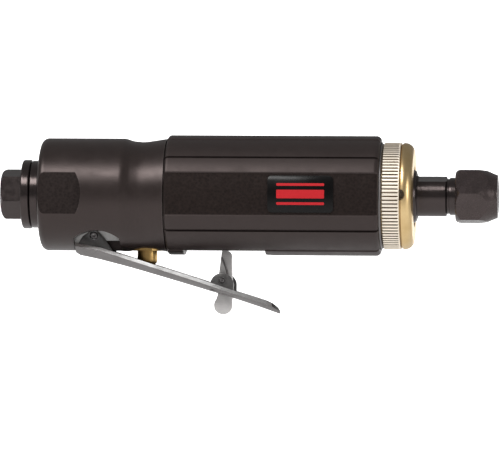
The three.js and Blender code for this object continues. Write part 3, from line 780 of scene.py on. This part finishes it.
def grip_sleeve():
    """Moulded grip: recessed textured panel on each side, finger grooves, plain top and bottom."""
    rear, front = SLEEVE_REAR, SLEEVE_FRONT
    outer = [(rear, 19.15), (rear + 0.12, 19.5), (rear + 0.6, SLEEVE_R - 0.14), (rear + 1.1, SLEEVE_R)]
    outer += [(x, SLEEVE_R) for x in np.arange(rear + 5, front - 4, 5.0)]
    outer += arc(front - 1.6, SLEEVE_R - 1.6, 1.6, 90, 8, 7)
    bore = 18.2
    profile = [(rear, bore), *outer, (front, 18.4), (front, bore)]
    sleeve = shell("grip_sleeve_moulding", profile, sleeve_angles(), sleeve_radius, 25)
    nest = box_tool(62.3, 90.0, -12, 12, -26, NEST_Z)
    slot = prism("tool", rounded(rectangle(65, 92, -2.6, 2.6), 2.2, 6), "z", -26, -10)
    sleeve = boolean(sleeve, [nest, slot], sharp=25)

    def finish_at(x, y, z, nx, ny, nz):
        """The coarse finish between the panel's edges, on the outside only."""
        lean = math.degrees(math.atan2(abs(z), abs(y)))
        return 1 if lean < PANEL_EDGE and math.hypot(y, z) > 19 and abs(nx) < 0.7 else 0

    paint(sleeve, ["sleeve", "panel"], finish_at)
    dress(sleeve, "sleeve", "tool_body", ["grip_sleeve"])


def curved_plate(name, outline, inner, outer, rows=40):
    """A plate that follows the grip's side, from an outline of (station, height along the curve)."""
    margin = 0.5
    rear, low = np.min(outline, axis=0) - margin
    front, high = np.max(outline, axis=0) + margin
    points = []
    for radius in (inner, outer):
        for a in np.linspace(low, high, rows) / PANEL_R:
            y, z = -radius * math.cos(a), radius * math.sin(a)
            points += [(rear, y, z), (front, y, z)]
    skin = 2 * rows  # points in the inner skin, and so the first number of the outer one
    faces = [(p, p + 1, p + 3, p + 2) for base in (0, skin) for p in range(base, base + skin - 2, 2)]
    faces += [(p, p + 2, skin + p + 2, skin + p) for p in range(skin - 2)]
    faces += [(0, 1, skin + 1, skin), (skin - 2, skin - 1, 2 * skin - 1, 2 * skin - 2)]
    plate = mesh_piece(name, points, faces, 40)
    flat = [(x, PANEL_R * math.sin(v / PANEL_R)) for x, v in outline]
    return boolean(plate, [prism("tool", flat, "y", -30, -10)], "INTERSECT", 40)


def badge():
    """Glossy black plate in the viewer's panel with three plain red bars."""
    x0, x1, half, bar_inset = 91.7, 113.7, 6.3, 3
    outline = rounded(rectangle(x0, x1, -half, half), 1.7, 8)
    plate = curved_plate("badge_plate", outline, PANEL_R - 0.1, PANEL_R + 0.36)
    bevel(plate, 0.12, 2, 50)
    dress(plate, "label", "tool_body", ["badge"])
    bars = []
    for centre, thick in ((3.2, 0.9), (0.0, 2.9), (-3.2, 0.9)):
        low, high = centre - thick / 2, centre + thick / 2
        edge = rounded(rectangle(x0 + bar_inset, x1 - bar_inset, low, high), 0.3, 4)
        bars.append(curved_plate("bar", edge, PANEL_R + 0.3, PANEL_R + 0.42, 20))
    stripes = join(bars, "badge_stripes")
    smooth(stripes, 40)
    dress(stripes, "red_ink", "tool_body")


# ---- throttle lever ----

LEVER_REAR = 25.9
LEVER_UNDERSIDE = [  # (station, z) of the lowest line of the sheet
    (LEVER_REAR, -19.7), (26.2, -20.15), (26.9, -20.5), (34.0, -21.95), (44.4, -24.6), (55.9, -27.85),
    (67.4, -31.2), (79.5, -34.8), (87.7, -37.5), (91.5, -38.8), (95.0, -40.0),
]
LEVER_LIPS = [  # (station, z) of the upper edges
    (LEVER_REAR, -16.5), (34.3, -17.95), (44.4, -21.1), (67.4, -28.2), (79.5, -32.2), (89.7, -35.3),
    (92.4, -36.5), (94.8, -38.2),
]
LEVER_HALF = 8.2
LEVER_SHEET = 1.1
TAPER_START = 73.0
TIP_CENTRE = 89.6
TIP_R = 5.2


def lever_plan():
    """Half outline of the lever seen from below, (station, half width) from the rear to the tip."""
    side = [(x, LEVER_HALF) for x in np.linspace(LEVER_REAR, TAPER_START, 34)]
    taper = []
    for t in np.linspace(0, 1, 16)[1:]:
        ease = t * t * (1.6 - 0.6 * t)
        x = TAPER_START + (TIP_CENTRE - TAPER_START) * t
        taper.append((x, LEVER_HALF + (TIP_R - LEVER_HALF) * ease))
    tip = arc(TIP_CENTRE, 0, TIP_R, 90, 0, 14)[1:]
    return np.array(side + taper + tip)


def curve_z(points, x):
    """Height at a station on a line of (station, z)."""
    return np.interp(x, [p[0] for p in points], [p[1] for p in points])


def lever_section(x, half_width, nx, ny):
    """Points round the sheet at one place of the plan, outside and back inside, both halves.

    (nx, ny) points inwards across the plan, and offsets are measured along it."""
    lip, under = curve_z(LEVER_LIPS, x), curve_z(LEVER_UNDERSIDE, x)
    floor = min(LEVER_SHEET, 0.5 * (lip - under))
    edge = min(1.15, 0.45 * (lip - under))  # height of the sloping face along the lip
    flare = min(3.4, 0.62 * half_width)  # how far in the rolled lower edge reaches
    fall = max(lip - edge - under, 0.05)
    roll = 1.7  # power of the curve from the wall into the floor

    def at(offset, z):
        px, py = x + nx * offset, half_width + ny * offset
        drop = curve_z(LEVER_UNDERSIDE, px) - under
        return (px, max(py, 0.0), z + drop)

    def mirrored(half):
        """The half, its floor up to the middle, and the same again on the other side."""
        end = half[-1]
        half = half + [(end[0], end[1] * k, end[2]) for k in (0.66, 0.33, 0.0)]
        return half + [(p[0], -p[1], p[2]) for p in reversed(half[:-1])]

    outer = [at(0.66, lip), at(0.58, lip - 0.02), at(0.08, lip - edge + 0.14), at(0, lip - edge)]
    inner = [at(0.95, lip), at(1.03, lip - 0.03), at(1.1, lip - 0.1)]
    for q in np.linspace(0, 1, 9)[1:]:
        bend = (1 - q) ** roll
        outer.append(at(flare * q, under + fall * bend))
        inner.append(at(1.1 + flare * q, under + floor + (lip - 0.1 - under - floor) * bend))
    return mirrored(outer) + mirrored(inner)[::-1]


def lever_channel():
    """The bent sheet: lips, rolled lower edge and floor, one closed skin from rear end to tip."""
    plan = lever_plan()
    tangent = np.gradient(plan, axis=0)
    tangent /= np.linalg.norm(tangent, axis=1)[:, None]
    sections = [lever_section(x, w, ty, -tx) for (x, w), (tx, ty) in zip(plan, tangent)]
    columns = len(sections[0])
    faces = [*loop_faces(len(sections), columns), tuple(range(columns))]  # closed at the rear only
    channel = mesh_piece("throttle_lever_sheet", [p for row in sections for p in row], faces, 40)
    bm = bmesh.new()
    bm.from_mesh(channel.data)
    bmesh.ops.remove_doubles(bm, verts=bm.verts, dist=0.02 * MM)
    bmesh.ops.dissolve_degenerate(bm, edges=bm.edges, dist=0.01 * MM)
    bmesh.ops.recalc_face_normals(bm, faces=bm.faces)
    bm.to_mesh(channel.data)
    bm.free()
    return channel


REAR_EAR = [
    (26.6, -19.4), (26.9, -16.6), (28.3, -14.2), *arc(*LEVER_PIN, 1.95, 128, 48, 8),
    (34.6, -13.7), (36.2, -15.6), (37.7, -17.8), (39.2, -20.6),
]
FRONT_EAR = [(71.55, -32.4), *arc(75.5, -30.3, 3.95, 180, 0, 26), (79.45, -33.2)]


def throttle_lever():
    """The sheet with its two pairs of ears, pin holes and the slot for the lock lever."""
    ears = []
    for side in (1, -1):
        for outline in (REAR_EAR, FRONT_EAR):
            ears.append(prism("tool", outline, "y", *on_side(side, 5.8, 6.8)))
    for ear in ears:
        bevel(ear, 0.15, 2, 60)
    lever = boolean(lever_channel(), ears, "UNION")
    slot = rounded(rectangle(70.5, 89.5, -2.1, 2.1), 2.0, 8)
    tools = [
        prism("tool", slot, "z", -45, -20), rod("y", 1.45, *LEVER_PIN, -10, 10),
        rod("y", 1.1, *LOCK_PIN, -10, 10),
    ]
    lever = boolean(lever, tools, sharp=35)

    def finish_at(x, y, z, nx, ny, nz):
        sheet, painted_highlight_edge, ear = range(3)
        # Painted light: up-facing faces along the lip get the near-white steel as a painted highlight, and
        # the rest of the sheet gets the dark steel as painted shade.
        above_lip = z - curve_z(LEVER_LIPS, x)
        if abs(y) > 4 and nz > 0.12 and abs(ny) < 0.99 and -1.4 < above_lip < 0.1:
            return painted_highlight_edge
        return ear if abs(ny) > 0.9 and above_lip > -0.4 else sheet

    paint(lever, ["steel", "painted_highlight_steel", "ear_steel"], finish_at)
    dress(lever, "steel", "throttle", ["throttle_lever"])


def pin(name, centre, radius, half, dimple):
    """A drive pin with chamfered ends and a shallow dimple in each face."""
    chamfer, depth, sides = 0.25, 0.2, 40
    end = [(half - chamfer, radius), (half, radius - chamfer), (half, dimple), (half - depth, dimple / 2)]
    rows = [(-y, r) for y, r in reversed(end)] + end
    points = []
    for y, r in rows:
        for t in even_angles(sides):
            points.append((centre[0] + r * math.cos(t), y, centre[1] + r * math.sin(t)))
    return mesh_piece(name, points, capped_faces(len(rows), sides), 30)


def pins():
    """The throttle lever's pivot in the body, and the lock lever's pivot in the throttle lever."""
    lever_pin = pin("lever_pivot_pin", LEVER_PIN, 1.2, 7.0, 0.55)
    dress(lever_pin, "pin", "tool_body", ["lever_pin"])
    lock_pin = pin("lock_pivot_pin", LOCK_PIN, 0.88, 7.05, 0.4)
    dress(lock_pin, "pin", "throttle", ["lock_pin"])


def lock_lever():
    """Sheet blade that blocks the throttle until its paddle is pushed forward."""
    outline = [
        (78.5, -37.2), (78.5, -28.8), (78.35, -22.2), *arc(76.0, -21.0, 2.4, 0, 90, 6),
        (75.4, -18.6), (74.95, -19.0), (74.3, -24.5), (73.8, -28.2), (73.1, -29.6), (73.3, -32.0),
        (73.7, -33.6), *arc(75.45, -37.2, 3.02, 140, 360, 26),
    ]
    blade = prism("lock_off_lever", outline, "y", -1.55, 1.55)
    blade = boolean(blade, [rod("y", 1.05, *LOCK_PIN, -5, 5)])
    bevel(blade, 0.28, 3, 50)
    dress(blade, "zinc_plate", "lock", ["lock_lever"])


def lock_spring():
    """Torsion spring on the lock pin: one leg on the throttle lever, the other up the blade."""
    cx, cz = LOCK_PIN
    rear, front = -5.0, -2.45  # y of the coil's two ends
    coil_radius, turns, first_angle = 1.72, 3.35, -115
    rest_leg = [
        (64.5, rear - 0.05, -28.6), (67.0, rear - 0.05, -29.1), (70.0, rear - 0.05, -29.9),
        (72.6, rear, -30.35),
    ]
    path = list(catmull(rest_leg, 6))
    for t in np.linspace(0, 1, 84):
        q = math.radians(first_angle + 360 * turns * t)
        y = rear + (front - rear) * t
        path.append((cx + coil_radius * math.cos(q), y, cz + coil_radius * math.sin(q)))
    blade_leg = [
        path[-1], (76.9, front + 0.05, -26.0), (76.0, front + 0.1, -23.4), (74.9, front + 0.1, -21.0),
    ]
    path += list(catmull(blade_leg, 8))[1:]
    spring = tube("lock_torsion_spring", path, 0.34, 10)
    start, end = to_metres([(cx, rear, cz), (cx, front, cz)]).tolist()
    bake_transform(spring)
    dress(spring, "spring", None, ["lock_spring"])


# ---- throttle valve ----


def valve_stem():
    """Brass push stem under the lever: a rounded head on a thin shank."""
    profile = [
        (-23.4, 0.02), (-23.4, 2.5), (-23.2, 2.95), (-22.75, 3.28), (-22.2, 3.4), (-20.3, 3.4),
        (-15.2, 3.4), (-15, 3.2), (-15, 1.6), (-4.75, 1.6), (-4.75, 0.02),
    ]
    stem = turned_z("throttle_valve_stem", profile, VALVE_X, 96)
    dress(stem, "brass", "valve", ["valve_stem"])


def valve_spring():
    """The spring that closes the valve, wound closer at its ends."""
    bottom, top, turns, coil_radius = -2.1, 7.9, 6.5, 2.8
    path = []
    for t in np.linspace(0, 1, 150):
        q = 2 * math.pi * turns * t
        z = bottom + (top - bottom) * smoothstep(0.0, 1.0, t) * 0.25 + (top - bottom) * 0.75 * t
        path.append((VALVE_X + coil_radius * math.cos(q), coil_radius * math.sin(q), z))
    spring = tube("throttle_valve_spring", path, 0.32, 8)
    dress(spring, "spring", "tool_body", ["valve_spring"])
    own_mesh(spring)


# ---- front end ----


def clamp_nut():
    """Gold-plated exhaust cap that clamps the motor: threaded skirt, flange and rounded front."""
    profile = [
        (119.6, 14.3), (119.6, 15.1), (119.9, 15.4), (129.7, 15.4), (129.7, 16.2), (129.9, 16.4),
        (135.8, 16.4), (135.8, 17.45), (136.1, 17.8), (136.55, 17.95),
        *arc(136.7, 14.75, 3.2, 87, 12, 10), (139.85, 14.6), (139.85, 10.4), (139.6, 10.0),
        (139.2, 9.8), (137.3, 9.8), (137.3, 14.3),
    ]
    body = shell("exhaust_clamp_nut", profile, 216)
    spanner_holes = [
        rod(axis, 1.95, 135.4, 0, *on_side(side, 8, CLEAR)) for axis in ("y", "z") for side in (1, -1)
    ]
    body = boolean(body, spanner_holes, sharp=30)
    dress(body, "gold_plate", "tool_body", ["clamp_nut"])


def exhaust_deflector():
    """Knurled ring that turns to aim the exhaust: straight teeth that run out before the front rim."""
    teeth, columns_per_tooth, groove = 90, 10, 0.4
    inner, outer = 16.85, 18.0

    def knurl(x, r, a):
        wave = 0.5 - 0.5 * np.cos(a * teeth)
        flank = smoothstep(0.55, 0.98, wave)
        run_out = 1 - smoothstep(134.85, 135.4, x)
        return r - groove * flank * run_out * (r > 17.5)

    rows = [129.9, 130.1, 132, 134, 134.7, 134.85, 135.0, 135.15, 135.3, 135.4]
    profile = [(129.75, inner), (129.75, 17.8), *[(x, outer) for x in rows], (135.5, 17.85), (135.5, inner)]
    ring = shell("exhaust_deflector_ring", profile, teeth * columns_per_tooth, knurl, 28)

    def finish_at(x, y, z, nx, ny, nz):
        """Painted shade: the faces down in the grooves get a much darker gold."""
        return 1 if 129.8 < x < 135.2 and 17.3 < math.hypot(y, z) < 17.86 else 0

    paint(ring, ["pale_gold", "gold_groove_painted_shade"], finish_at)
    dress(ring, "pale_gold", "deflector", ["exhaust_deflector"])


def dust_shield():
    """Dark washer round the spindle in the mouth of the cap."""
    profile = [
        (138.0, 7.5), (138.0, 9.1), (138.2, 9.4), (139.2, 9.35), (140.5, 8.45), (140.8, 8.1),
        (140.8, 7.7), (140.6, 7.5),
    ]
    shield = shell("spindle_dust_shield", profile, 120)
    dress(shield, "turned_black", "tool_body", ["dust_shield"])


def spindle():
    """Collet holder on the rotor: round shank with wrench flats, undercut and threaded neck."""
    rear, front, shank, neck = 124.0, 161.0, 7.0, 6.3
    pitch = 1.0

    def neck_thread(x, r, a):
        """Grooves on the neck, and faint turning lines on the shank."""
        cut = smoothstep(154.2, 155.0, x) * (1 - smoothstep(159.4, 160.2, x)) * (r < 6.5) * (r > 5.5)
        lines = 0.02 * np.cos(x * 14.0) * smoothstep(141.0, 142.0, x) * (r > 6.7)
        return r - 0.45 * np.clip(1.2 * thread_wave(x, a, pitch) - 0.1, 0, 1) * cut - lines

    profile = [(rear, 6.6), (rear + 0.4, shank), (133.0, shank), (141.0, shank)]
    profile += [(x, shank) for x in np.arange(141.1, 150.2, 0.12)]
    profile += [(150.5, 6.95), (150.75, 6.7), (150.9, 6.35)]
    profile += [(151.0, 5.9), (151.6, 5.9), (151.75, 6.25), (152.2, neck)]
    profile += [(x, neck) for x in np.arange(152.4, 160.4, pitch / 8)]
    profile += [(160.7, 6.1), (front, 5.8), (front, 5.45), (139, 4.45), (139, 1.2), (134.4, 1.2)]
    profile += [(134.4, 4.3), (rear, 4.3)]
    body = shell("collet_holder", profile, 144, neck_thread, 30)
    flats = []
    for side in (1, -1):
        corners = rectangle(-10, 10, *on_side(side, 6.0, 10))
        flats.append(prism("tool", rotated(corners, 15.5), "x", 141.2, 150.95))
    body = boolean(body, flats, sharp=30)
    dress(body, "turned_black", "rotor_group", ["collet_body"])


def collet():
    """Split spring collet: slender shank, tapered nose and three slits round the bore."""
    bore = 3.175
    profile = [
        (141.2, 3.3), (141.2, 3.9), (141.5, 4.05), (157, 4.6), (162, 4.95), (164.4, 4.95),
        (165.4, 4.75), (166.9, 4.45), (167.2, 4.2), (167.2, 3.4), (167.0, 3.2), (166.6, bore),
        (160, bore),
    ]
    body = shell("spring_collet", profile, 96)
    slit = rectangle(-0.4, 0.4, 2, 8)
    slits = [prism("tool", rotated(slit, degrees), "x", 146, 170) for degrees in (0, 120, 240)]
    body = boolean(body, slits, sharp=30)
    dress(body, "ground_steel", "collet_group", ["collet"])


def collet_nut():
    """Hexagon nut with chamfered corners and a round nose."""
    corner = 9.75
    profile = [
        (153.75, 6.6), (153.75, 8.1), (154.1, 8.6), (154.9, 9.35), (155.4, corner), (161.6, corner),
        (164.9, 8.45), (167.1, 7.5), *arc(167.4, 6.8, 0.6, 68, 5), (168.0, 5.7), (167.7, 5.25),
        (165.0, 5.2), (163.2, 6.0), (161.6, 6.55),
    ]
    nut = shell("collet_clamp_nut", profile, 180)
    nut = boolean(nut, [prism("tool", hexagon(8.5, 175), "x", 150, 170)], "INTERSECT", sharp=15)
    bevel(nut, 0.14, 1, 45, 15)
    dress(nut, "nut", "nut", ["collet_nut"])


# ---- carried-over pieces ----

CARRIED = {  # CAD nodes whose shape is right, by the material that they get
    "rubber": ["inlet_o_ring", "bushing_o_ring", "rear_gasket"],
    "brass": ["valve_bushing"],
    "ground_steel": [
        "inlet_screen", "valve_poppet", "front_spacer", "rotor",
        *[f"{end}_bearing_{part}" for end in ("rear", "front") for part in ("outer", "inner", "balls")],
    ],
    "cast_iron": ["rear_end_plate", "motor_cylinder", "front_end_plate"],
    "pin": ["cylinder_dowel"],
    "spring": ["wave_washer"],
    "phenolic": [f"vane_{number}" for number in (1, 2, 3, 4)],
    "felt": ["muffler_felt"],
}


def carried_over():
    """Materials of the hidden CAD nodes that stay."""
    for material, nodes in CARRIED.items():
        for node in nodes:
            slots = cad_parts[node].data.materials
            slots.clear()
            slots.append(MATERIALS[material])


# ---- studio ----


def glowing_paper(name, colour, glow):
    """Matt paper lit through from behind, with a faint fibre tone."""
    n = Nodes(name)
    tone = n.shades(n.noise(3, 2, 0.5), colour, 0.995, 1)
    n.fill(n.bsdf, Base_Color=tone, Roughness=0.9, Emission_Color=(1, 1, 1), Emission_Strength=glow)
    return n.material


def paper(name, rows, glow):
    """A stage sheet from rows of points in metres."""
    count = len(rows[0])
    points = [p for row in rows for p in row]
    faces = [
        (r * count + i, r * count + i + 1, (r + 1) * count + i + 1, (r + 1) * count + i)
        for r in range(len(rows) - 1) for i in range(count - 1)
    ]
    mesh = bpy.data.meshes.new(name)
    mesh.from_pydata(points, [], faces)
    obj = placed(name, mesh)
    mesh.materials.append(glowing_paper(name, (0.93, 0.93, 0.93), glow))


def studio_paper():
    """A pale floor below the tool and a lit curved wall behind it, beyond every camera."""
    floor_z, wall_top, reach = -0.30, 0.34, 2.6
    around = np.radians(np.linspace(-180, 180, 73))
    disc = [[(r * math.sin(q), r * math.cos(q), floor_z) for q in around] for r in (0.001, 1.2, reach)]
    paper("studio_floor", disc, 0.3)
    behind = np.radians(np.linspace(-75, 75, 31))
    wall = [[(reach * math.sin(q), reach * math.cos(q), z) for q in behind] for z in (floor_z, wall_top)]
    paper("studio_wall", wall, 1.1)


def area_light(name, location, target, size, power):
    """A soft rectangular light in watts; places and size are in metres."""
    light = bpy.data.lights.new(name, "AREA")
    light.shape = "RECTANGLE"
    light.size, light.size_y = size
    light.energy = power
    obj = placed(name, light)
    obj.location = location
    direction = Vector(target) - Vector(location)
    obj.rotation_euler = direction.to_track_quat("-Z", "Y").to_euler()


def lights():
    """A dim white surround, a softbox above on the left, and a small panel on the right."""
    world = bpy.data.worlds.new("studio_world")
    world.use_nodes = True
    background = world.node_tree.nodes["Background"]
    background.inputs["Color"].default_value = (1, 1, 1, 1)
    background.inputs["Strength"].default_value = 0.24
    bpy.context.scene.world = world
    area_light("key_softbox", (-0.52, -0.80, 0.90), (-0.1, 0, -0.01), (1.0, 0.42), 14)
    area_light("right_panel", (0.95, -0.55, 0.15), (0, 0, -0.01), (0.25, 0.4), 3)


def camera():
    """A long lens in front of the tool, slightly to the right of it, below it and tilted."""
    scene = bpy.context.scene
    data = bpy.data.cameras.new("camera")
    data.sensor_width = 36  # millimetres, as the lens
    data.lens = 384
    data.clip_end = 20
    obj = placed("camera", data)
    azimuth, elevation, tilt = math.radians(4.9), math.radians(-1.2), math.radians(0.43)
    distance = 1.8
    target = Vector((-0.0083, 0, -0.0100))
    toward = Vector((
        math.cos(elevation) * math.sin(azimuth), -math.cos(elevation) * math.cos(azimuth),
        math.sin(elevation),
    ))
    obj.location = target + distance * toward
    obj.rotation_euler = (-toward).to_track_quat("-Z", "Y").to_euler()
    obj.rotation_euler.rotate_axis("Z", tilt)
    scene.camera = obj
    scene.view_settings.view_transform = "Standard"


# ---- the whole tool ----

camera()
lights()
studio_paper()
housing()
inlet()
inlet_collar()
grip_sleeve()
badge()
throttle_lever()
pins()
lock_lever()
lock_spring()
valve_stem()
valve_spring()
clamp_nut()
exhaust_deflector()
dust_shield()
spindle()
collet()
collet_nut()
carried_over()
